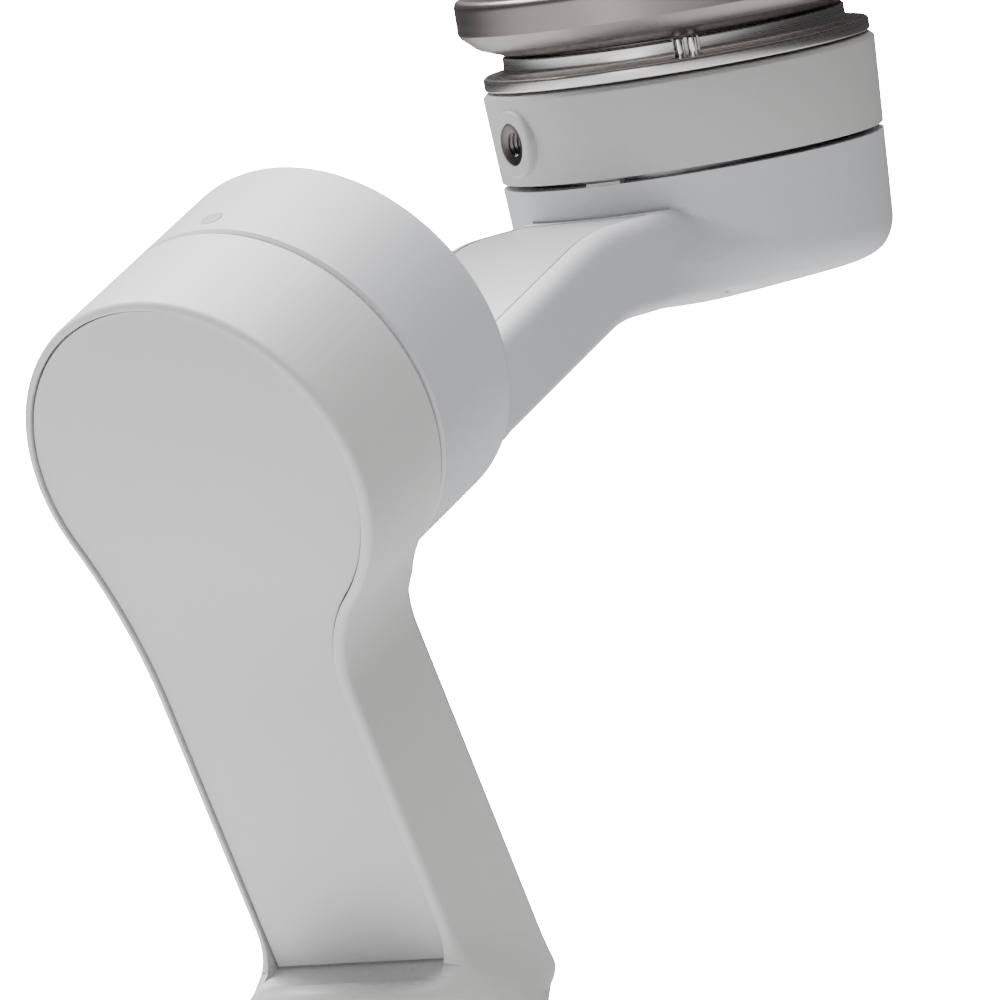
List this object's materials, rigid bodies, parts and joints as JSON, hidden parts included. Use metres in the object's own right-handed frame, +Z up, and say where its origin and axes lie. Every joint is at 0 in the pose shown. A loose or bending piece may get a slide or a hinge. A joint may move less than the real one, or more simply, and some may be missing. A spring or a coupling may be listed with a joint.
{
  "type": "gimbal stabilizer",
  "caption": "Handheld three-axis phone gimbal: grip with controls, pan motor, inclined arm, roll motor, curved arm, tilt motor and a swivelling sprung phone clamp.",
  "frame": {"origin": "mouth of the tripod thread, at the middle of the handle's base", "axes": "+Z up the handle and along the pan axis, +Y towards the person who holds it, +X to the right of someone looking along +Y"},
  "size_m": [0.0688, 0.1599, 0.3435],
  "materials": {
    "warm_grey_shell": "fine matt moulded shell, warm light grey",
    "dark_plastic": "fine matt",
    "brass_insert": "machined",
    "cell_wrap": "shrink wrap",
    "circuit_green": "solder mask",
    "steel": "ground",
    "black_steel": "blackened thread",
    "soft_black": "soft touch",
    "button_red": "satin",
    "button_grey": "satin",
    "motor_alloy": "machined",
    "copper": "enamelled copper wire on steel laminations",
    "magnet": "coated magnets",
    "inset_panel": "satin flat cover",
    "cool_white_shell": "fine matt moulded shell, cool white",
    "mark_grey": "printed mark",
    "head_grey_shell": "fine matt moulded shell, warm mid grey",
    "satin_silver": "turned satin",
    "bright_pin": "polished",
    "dark_metal": "dark anodised"
  },
  "bodies": {
    "handle": {"handle_front_shell": "warm_grey_shell", "handle_rear_shell": "warm_grey_shell", "base_cap": "dark_plastic", "tripod_insert": "brass_insert", "battery_cell": "cell_wrap", "main_board": "circuit_green", "usb_socket": "steel", "handle_screws": "black_steel", "control_panel": "dark_plastic", "joystick_base": "dark_plastic", "trigger_pin": "steel", "pan_housing": "warm_grey_shell", "pan_motor_base": "motor_alloy", "pan_stator": "copper", "pan_bearings": "steel", "pan_sensor_board": "circuit_green"},
    "joystick_yoke": {"joystick_yoke": "steel"},
    "joystick": {"joystick_cap": "soft_black"},
    "record_button": {"record_button": "button_red"},
    "mode_button": {"mode_button": "button_grey"},
    "power_button": {"power_button": "button_grey"},
    "trigger": {"trigger": "dark_plastic"},
    "zoom_dial": {"zoom_dial": "dark_plastic"},
    "arm_1": {"pan_bell": "steel", "pan_magnet_ring": "magnet", "pan_shaft": "steel", "arm_1_shell": "warm_grey_shell", "arm_1_cover": "inset_panel", "roll_motor_base": "motor_alloy", "roll_stator": "copper", "roll_bearings": "steel", "roll_sensor_board": "circuit_green"},
    "arm_2": {"roll_bell": "steel", "roll_magnet_ring": "magnet", "roll_shaft": "steel", "arm_2_shell": "cool_white_shell", "arm_2_cover": "inset_panel", "alignment_mark": "mark_grey", "tilt_stop_lug": "head_grey_shell", "tilt_motor_base": "motor_alloy", "tilt_stator": "copper", "tilt_bearings": "steel", "tilt_sensor_board": "circuit_green"},
    "head": {"tilt_bell": "steel", "tilt_magnet_ring": "magnet", "tilt_shaft": "steel", "tilt_housing": "head_grey_shell", "accessory_insert": "black_steel", "mount_ring": "satin_silver", "mount_neck": "satin_silver", "contact_pins": "bright_pin", "clamp_base": "dark_metal", "clamp_post": "head_grey_shell", "swivel_pin": "steel"},
    "clamp": {"clamp_body": "head_grey_shell", "clamp_pad": "soft_black", "jaw_spring": "steel"},
    "jaw": {"sliding_jaw": "head_grey_shell", "jaw_rods": "steel", "jaw_pad": "soft_black"}
  },
  "joints": [
    {"name": "pan", "type": "hinge", "parent": "handle", "child": "arm_1", "pos_m": [0, 0, 0.123], "axis": [0, 0, 1], "range_deg": [-160, 160]},
    {"name": "roll", "type": "hinge", "parent": "arm_1", "child": "arm_2", "pos_m": [0.005, -0.034, 0.214], "axis": [0, 0.8192, 0.5736], "range_deg": [-80, 80]},
    {"name": "tilt", "type": "hinge", "parent": "arm_2", "child": "head", "pos_m": [0.005, 0.0644, 0.2605], "axis": [0, -0.2756, 0.9613], "range_deg": [-90, 90]},
    {"name": "clamp_swivel", "type": "hinge", "parent": "head", "child": "clamp", "pos_m": [0.005, 0.03329, 0.32544], "axis": [0, -0.9613, -0.2756], "range_deg": [0, 90]},
    {"name": "jaw_slide", "type": "slide", "parent": "clamp", "child": "jaw", "axis": [1, 0, 0], "range_m": [0, 0.024], "stiffness_N_per_m": 250, "springref_m": -0.004},
    {"name": "joystick_up_down", "type": "hinge", "parent": "handle", "child": "joystick_yoke", "pos_m": [0, 0.012, 0.082], "axis": [1, 0, 0], "range_deg": [-12, 12], "stiffness_Nm_per_rad": 0.05},
    {"name": "joystick_left_right", "type": "hinge", "parent": "joystick_yoke", "child": "joystick", "pos_m": [0, 0.012, 0.082], "axis": [0, 0, 1], "range_deg": [-12, 12], "stiffness_Nm_per_rad": 0.05},
    {"name": "record_press", "type": "slide", "parent": "handle", "child": "record_button", "axis": [0, -1, 0], "range_m": [0, 0.0007], "stiffness_N_per_m": 1500},
    {"name": "mode_press", "type": "slide", "parent": "handle", "child": "mode_button", "axis": [0, -1, 0], "range_m": [0, 0.0007], "stiffness_N_per_m": 1500},
    {"name": "power_press", "type": "slide", "parent": "handle", "child": "power_button", "axis": [-1, 0, 0], "range_m": [0, 0.0006], "stiffness_N_per_m": 1500},
    {"name": "trigger_pull", "type": "hinge", "parent": "handle", "child": "trigger", "pos_m": [0, -0.0142, 0.092], "axis": [1, 0, 0], "range_deg": [0, 8], "stiffness_Nm_per_rad": 0.3},
    {"name": "zoom_turn", "type": "hinge", "parent": "handle", "child": "zoom_dial", "pos_m": [-0.0126, 0.0025, 0.085], "axis": [0, 1, 0], "continuous": true}
  ]
}
